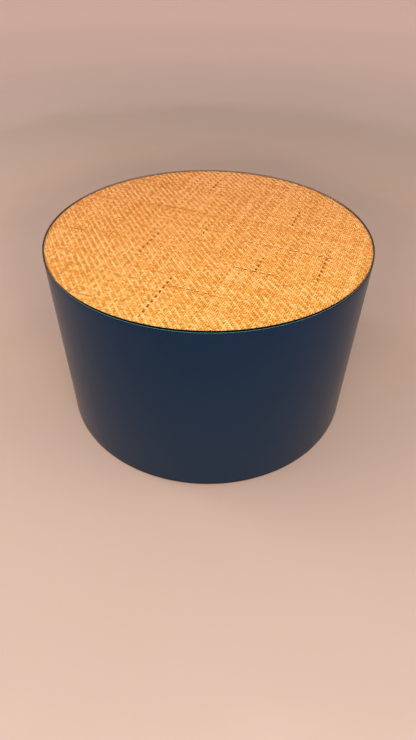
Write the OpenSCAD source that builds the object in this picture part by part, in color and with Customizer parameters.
// Drum coffee table. A thin plywood skin is bent round a frame of three rings
// and a circle of upright battens. A panel covered with woven cane closes the
// top, and a loose glass disc lies over it on clear pads.
// The origin is on the floor at the drum's centre, +Z is up, and the seam of
// the skin is at the back, towards +Y.

/* [Table] */
// Outside diameter of the painted skin
drum_d = 650; // [560:10:760]
// Height from the floor to the top of the glass
table_h = 400; // [340:5:460]

/* [Skin] */
// Thickness of the bent plywood skin
skin_t = 3; // [2:0.5:6]
// Bevel that eases the skin's top and bottom edges
skin_ease = 0.6; // [0.2:0.1:1]

/* [Glass] */
// Thickness of the glass disc
glass_t = 5; // [4:0.5:8]
// Bevel that takes the sharpness off the glass's edges
glass_arris = 0.8; // [0.2:0.1:1.5]
// Distance from the skin's outside face in to the glass edge
glass_setback = 0.5; // [0:0.5:3]
// Number of clear pads under the glass
pad_count = 6; // [4:1:12]
// Diameter of a clear pad
pad_d = 10; // [6:1:16]
// Thickness of a clear pad
pad_t = 1; // [0.5:0.1:2]
// Distance from the cane's edge in to a clear pad
pad_inset = 5; // [2:1:20]

/* [Cane top] */
// Thickness of the woven cane sheet
cane_t = 1.8; // [1:0.1:3]
// Thickness of the panel under the cane
panel_t = 12; // [9:1:18]

/* [Rings] */
// Thickness of each plywood ring
ring_t = 18; // [12:1:24]
// Width of a ring from its outside to its inside edge
ring_w = 60; // [52:1:90]
// Gap for glue between the skin and the frame inside it
glue_gap = 0.2; // [0.1:0.05:0.4]

/* [Battens] */
// Number of battens round the drum, with the seam batten
batten_count = 12; // [8:1:16]
// Width of a batten round the drum
batten_w = 40; // [30:1:50]
// Depth of a batten from the skin inwards
batten_d = 32; // [24:1:40]
// Width of the batten behind the skin's seam
seam_batten_w = 80; // [64:1:100]
// How far a batten and the middle ring are notched into each other
halving_d = 16; // [10:1:20]
// Clearance in the notches of the middle ring and the battens
notch_gap = 0.3; // [0.2:0.1:0.6]

/* [Screws] */
// Shank diameter of every wood screw
screw_d = 4; // [3:0.5:5]
// Diameter of a countersunk head
screw_head_d = 8; // [6.5:0.5:10]
// Length of the screws through a ring into a batten
frame_screw_l = 50; // [40:5:70]
// Length of the screws through the top ring into the panel
panel_screw_l = 25; // [23:1:26]
// Number of screws that hold the panel
panel_screw_count = 6; // [4:1:12]
// Distance between the two screws in each end of the seam batten
seam_screw_pitch = 48; // [36:1:56]
// Clearance round a screw in its hole
screw_gap = 0.1; // [0.05:0.05:0.2]

/* [Feet] */
// Number of felt feet under the bottom ring
foot_count = 6; // [4:1:12]
// Diameter of a felt foot
foot_d = 30; // [20:1:40]
// Thickness of a felt foot
foot_t = 3; // [2:0.5:6]

/* [Hidden] */
$fn = 96;
overcut = 1;       // how far a cutting shape runs past the face that it opens
edge_ease = 0.2;   // bevel on the pads and the feet

// Plies, glue lines and heights, from the floor up
drum_r = drum_d / 2;
skin_inner_r = drum_r - skin_t;
frame_r = skin_inner_r - glue_gap;
ring_inner_r = frame_r - ring_w;
ring_mid_r = frame_r - ring_w / 2;
glass_r = drum_r - glass_setback;
pad_pitch_r = frame_r - pad_inset - pad_d / 2;

bottom_ring_z = foot_t;
batten_z = bottom_ring_z + ring_t;
glass_z = table_h - glass_t;
rim_z = glass_z - pad_t;
cane_z = rim_z - cane_t;
panel_z = cane_z - panel_t;
top_ring_z = panel_z - ring_t;
batten_l = top_ring_z - batten_z;
middle_ring_z = batten_z + (batten_l - ring_t) / 2;

// Battens stand at equal steps, the seam batten first
seam_angle = 90;
batten_step = 360 / batten_count;
batten_mid_r = frame_r - batten_d / 2;
function batten_angle(k) = seam_angle + k * batten_step;
function width_of(k) = k == 0 ? seam_batten_w : batten_w;
// A bay is the space between two battens; n things are shared out among the bays
function bay_angle(i, n) = batten_angle(floor(i * batten_count / n) + 0.5);

// A screw goes into each end of a batten, and two into the wide seam batten
screw_head_h = (screw_head_d - screw_d) / 2;
screw_point_l = 1.6 * screw_d;
screw_tip_d = 0.6;
function screw_offsets(k) = k == 0 ? [-seam_screw_pitch / 2, seam_screw_pitch / 2] : [0];

function batten_name(k) = k == 0 ? "seam_batten" : str("batten_", k < 10 ? "0" : "", k);
function foot_name(i) = str("foot_", i + 1);

// A disc with its top and bottom edges bevelled
module eased_disc(d, t, ease) {
    rotate_extrude()
        polygon([[0, 0], [d / 2 - ease, 0], [d / 2, ease],
                 [d / 2, t - ease], [d / 2 - ease, t], [0, t]]);
}

// A countersunk wood screw, its head's face at the origin and its point down
module wood_screw(l) {
    rotate_extrude()
        polygon([[0, 0], [screw_head_d / 2, 0], [screw_d / 2, -screw_head_h],
                 [screw_d / 2, -(l - screw_point_l)], [screw_tip_d / 2, -l], [0, -l]]);
}

// The hole for the head and shank, open above the head
module screw_hole(l) {
    translate([0, 0, -(l + screw_gap)])
        cylinder(d = screw_d + 2 * screw_gap, h = l + screw_gap + overcut);
    translate([0, 0, -screw_head_h - screw_gap])
        cylinder(d1 = screw_d, d2 = screw_head_d + 2 * screw_gap, h = screw_head_h + screw_gap);
    cylinder(d = screw_head_d + 2 * screw_gap, h = overcut);
}

// Puts its children at each screw that joins a ring to batten k
module at_batten_screws(k) {
    for (side = screw_offsets(k))
        rotate([0, 0, batten_angle(k)])
            translate([batten_mid_r, side, 0])
                children();
}

// Puts its children at each screw that joins a ring to any batten
module at_all_batten_screws() {
    for (k = [0 : batten_count - 1])
        at_batten_screws(k) children();
}

// Puts its children in the bays of the ring, n of them, at radius r
module in_bays(n, r) {
    for (i = [0 : n - 1])
        rotate([0, 0, bay_angle(i, n)])
            translate([r, 0, 0])
                children();
}

module ring_blank() {
    difference() {
        cylinder(r = frame_r, h = ring_t);
        translate([0, 0, -overcut])
            cylinder(r = ring_inner_r, h = ring_t + 2 * overcut);
    }
}

// Toughened glass with a flat polished edge and a small arris on both sides
module glass_top() {
    color([0.62, 0.82, 0.80, 0.35])
        translate([0, 0, glass_z])
            eased_disc(2 * glass_r, glass_t, glass_arris);
}

// Clear pads that keep the glass from slipping on the cane
module glass_pads() {
    color([0.90, 0.92, 0.92, 0.5])
        for (i = [0 : pad_count - 1])
            rotate([0, 0, (i + 0.5) * 360 / pad_count])
                translate([pad_pitch_r, 0, rim_z])
                    eased_disc(pad_d, pad_t, edge_ease);
}

// The sheet of woven cane, glued down and cut flush with the panel's edge
module cane_sheet() {
    color("sandybrown")
        translate([0, 0, cane_z])
            cylinder(r = frame_r, h = cane_t);
}

// The panel that closes the drum, stained dark where the weave lets it show
module top_panel() {
    color("saddlebrown")
        difference() {
            translate([0, 0, panel_z])
                cylinder(r = frame_r, h = panel_t);
            in_bays(panel_screw_count, ring_mid_r)
                translate([0, 0, top_ring_z])
                    mirror([0, 0, 1]) screw_hole(panel_screw_l);
        }
}

// The outer wall, one flexible sheet bent until its ends meet at the back
module drum_skin() {
    color([0.07, 0.13, 0.22])
        translate([0, 0, bottom_ring_z])
            rotate_extrude()
                translate([skin_inner_r, 0])
                    polygon([[0, skin_ease], [skin_ease, 0],
                             [skin_t - skin_ease, 0], [skin_t, skin_ease],
                             [skin_t, rim_z - bottom_ring_z - skin_ease],
                             [skin_t - skin_ease, rim_z - bottom_ring_z],
                             [skin_ease, rim_z - bottom_ring_z],
                             [0, rim_z - bottom_ring_z - skin_ease]]);
}

// Carries the panel, and is screwed down into the tops of the battens
module top_ring() {
    color("burlywood")
        difference() {
            translate([0, 0, top_ring_z]) ring_blank();
            at_all_batten_screws()
                translate([0, 0, panel_z]) screw_hole(frame_screw_l);
            in_bays(panel_screw_count, ring_mid_r)
                translate([0, 0, top_ring_z])
                    mirror([0, 0, 1]) screw_hole(panel_screw_l);
        }
}

// Keeps the skin round at half height; each batten is halved into its outside edge
module middle_ring() {
    color("burlywood")
        difference() {
            translate([0, 0, middle_ring_z]) ring_blank();
            for (k = [0 : batten_count - 1])
                rotate([0, 0, batten_angle(k)])
                    translate([frame_r - halving_d - notch_gap,
                               -width_of(k) / 2 - notch_gap,
                               middle_ring_z - overcut])
                        cube([halving_d + notch_gap + overcut,
                              width_of(k) + 2 * notch_gap,
                              ring_t + 2 * overcut]);
        }
}

// Stands on the feet, and is screwed up into the feet of the battens
module bottom_ring() {
    color("burlywood")
        difference() {
            translate([0, 0, bottom_ring_z]) ring_blank();
            at_all_batten_screws()
                translate([0, 0, bottom_ring_z])
                    mirror([0, 0, 1]) screw_hole(frame_screw_l);
        }
}

// An upright whose outside follows the skin, notched inside for the middle ring
module batten(k) {
    color("tan")
        difference() {
            intersection() {
                translate([0, 0, batten_z])
                    cylinder(r = frame_r, h = batten_l);
                rotate([0, 0, batten_angle(k)])
                    translate([frame_r - batten_d, -width_of(k) / 2, batten_z])
                        cube([batten_d + overcut, width_of(k), batten_l]);
            }
            rotate([0, 0, batten_angle(k)])
                translate([frame_r - batten_d - overcut,
                           -width_of(k) / 2 - overcut,
                           middle_ring_z])
                    cube([batten_d - halving_d + overcut,
                          width_of(k) + 2 * overcut,
                          ring_t + notch_gap]);
            at_batten_screws(k)
                translate([0, 0, panel_z]) screw_hole(frame_screw_l);
            at_batten_screws(k)
                translate([0, 0, bottom_ring_z])
                    mirror([0, 0, 1]) screw_hole(frame_screw_l);
        }
}

// Driven up through the top ring into the panel, so that the panel's face stays whole
module panel_screws() {
    color("silver")
        in_bays(panel_screw_count, ring_mid_r)
            translate([0, 0, top_ring_z])
                mirror([0, 0, 1]) wood_screw(panel_screw_l);
}

module top_ring_screws() {
    color("silver")
        at_all_batten_screws()
            translate([0, 0, panel_z]) wood_screw(frame_screw_l);
}

module bottom_ring_screws() {
    color("silver")
        at_all_batten_screws()
            translate([0, 0, bottom_ring_z])
                mirror([0, 0, 1]) wood_screw(frame_screw_l);
}

// A felt disc stuck under the bottom ring, in a bay clear of the screws
module foot(i) {
    color("dimgray")
        rotate([0, 0, bay_angle(i, foot_count)])
            translate([ring_mid_r, 0, 0])
                eased_disc(foot_d, foot_t, edge_ease);
}

glass_top();
glass_pads();
cane_sheet();
top_panel();
drum_skin();
top_ring();
middle_ring();
bottom_ring();
panel_screws();
top_ring_screws();
bottom_ring_screws();
for (k = [0 : batten_count - 1])
    batten(k);
for (i = [0 : foot_count - 1])
    foot(i);
